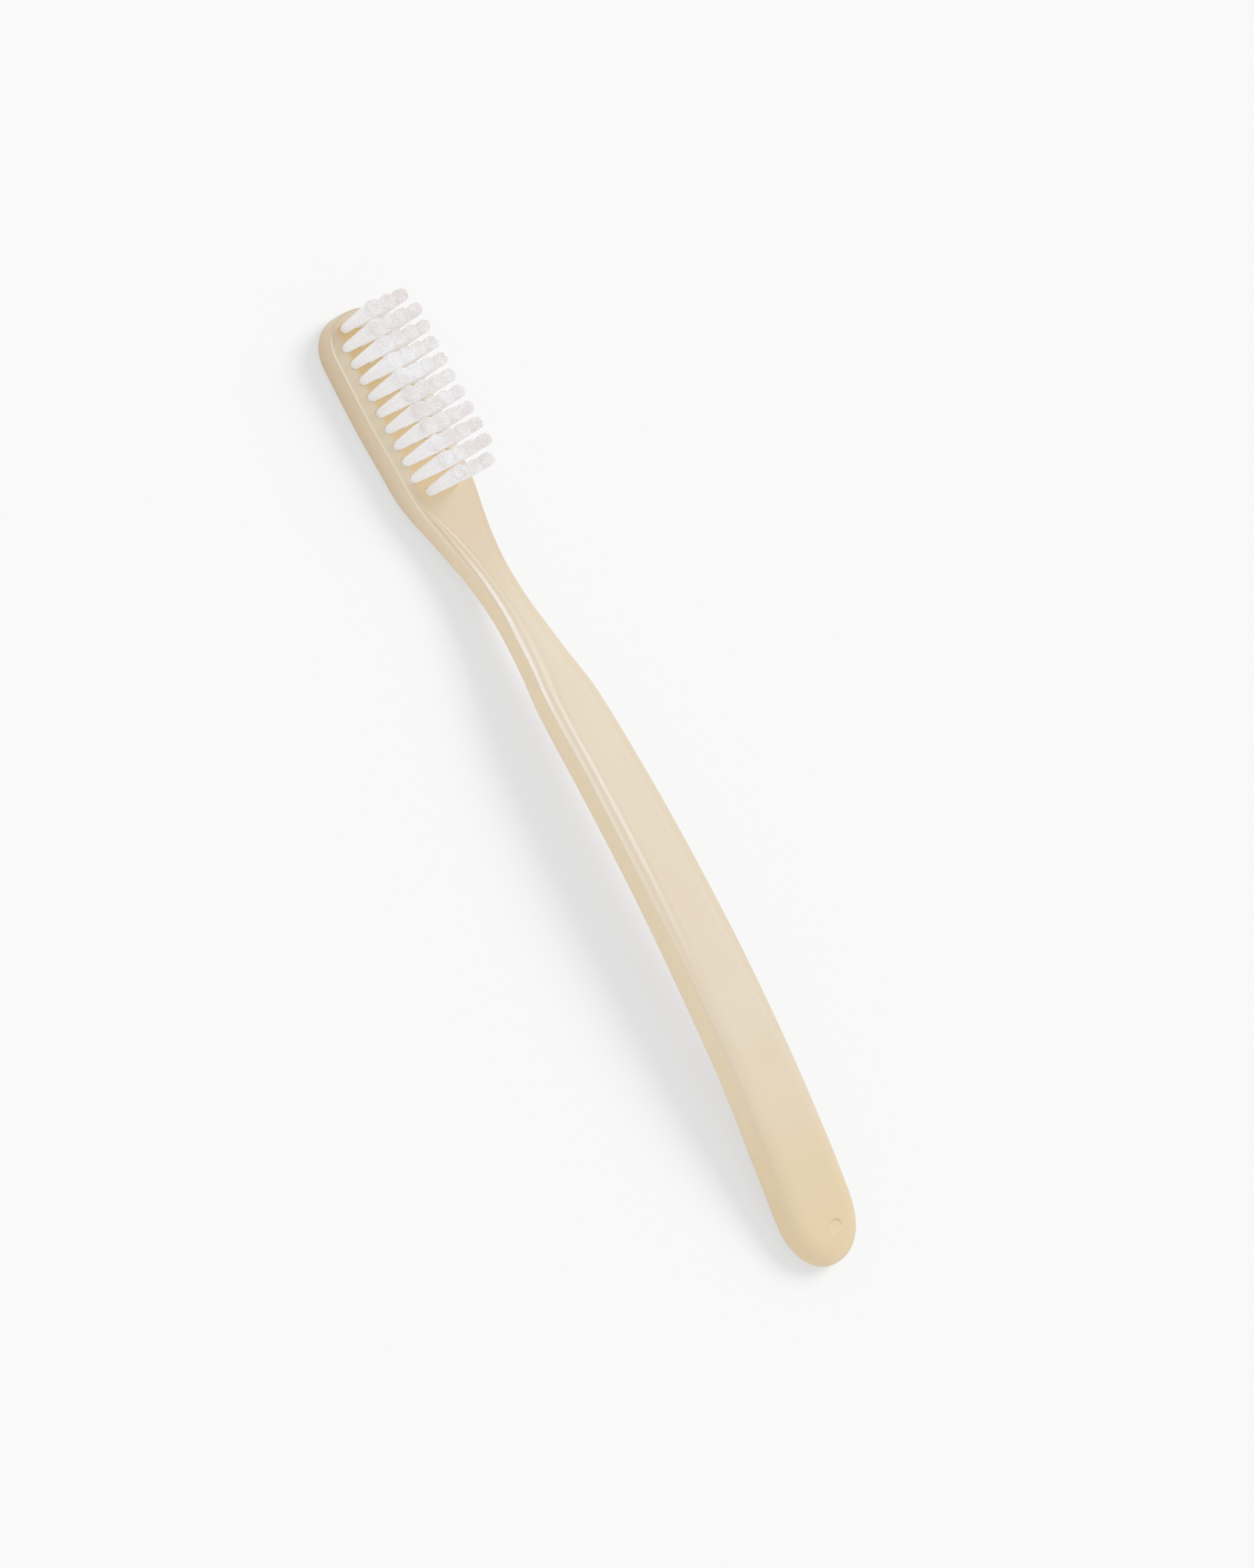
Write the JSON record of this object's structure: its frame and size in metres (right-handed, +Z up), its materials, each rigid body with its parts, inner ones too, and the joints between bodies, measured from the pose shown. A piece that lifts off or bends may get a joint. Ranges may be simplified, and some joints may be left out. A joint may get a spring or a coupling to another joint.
{
  "type": "toothbrush",
  "caption": "Straight manual toothbrush with a slim waisted neck, an arched grip with a flat top, and rows of flared bristle tufts in a rounded oblong head.",
  "frame": {"origin": "on the table under the middle of the brush's length and width, with the brush on its back", "axes": "+X along the brush toward the toe of the head, +Y across it, +Z up along the bristles"},
  "size_m": [0.176, 0.0152, 0.016],
  "materials": {
    "handle": "glossy moulded plastic, ivory",
    "bristle": "nylon filament, near white",
    "anchor": "bare strip metal"
  },
  "bodies": {
    "root": {"handle": "handle", "anchors": "anchor", "tuft_1": "bristle", "tuft_2": "bristle", "tuft_3": "bristle", "tuft_4": "bristle", "tuft_5": "bristle", "tuft_6": "bristle", "tuft_7": "bristle", "tuft_8": "bristle", "tuft_9": "bristle", "tuft_10": "bristle", "tuft_11": "bristle", "tuft_12": "bristle", "tuft_13": "bristle", "tuft_14": "bristle", "tuft_15": "bristle", "tuft_16": "bristle", "tuft_17": "bristle", "tuft_18": "bristle", "tuft_19": "bristle", "tuft_20": "bristle", "tuft_21": "bristle", "tuft_22": "bristle", "tuft_23": "bristle", "tuft_24": "bristle", "tuft_25": "bristle", "tuft_26": "bristle", "tuft_27": "bristle", "tuft_28": "bristle", "tuft_29": "bristle", "tuft_30": "bristle", "tuft_31": "bristle", "tuft_32": "bristle", "tuft_33": "bristle", "tuft_34": "bristle", "tuft_35": "bristle", "tuft_36": "bristle", "tuft_37": "bristle", "tuft_38": "bristle", "tuft_39": "bristle", "tuft_40": "bristle", "tuft_41": "bristle", "tuft_42": "bristle"}
  },
  "joints": []
}
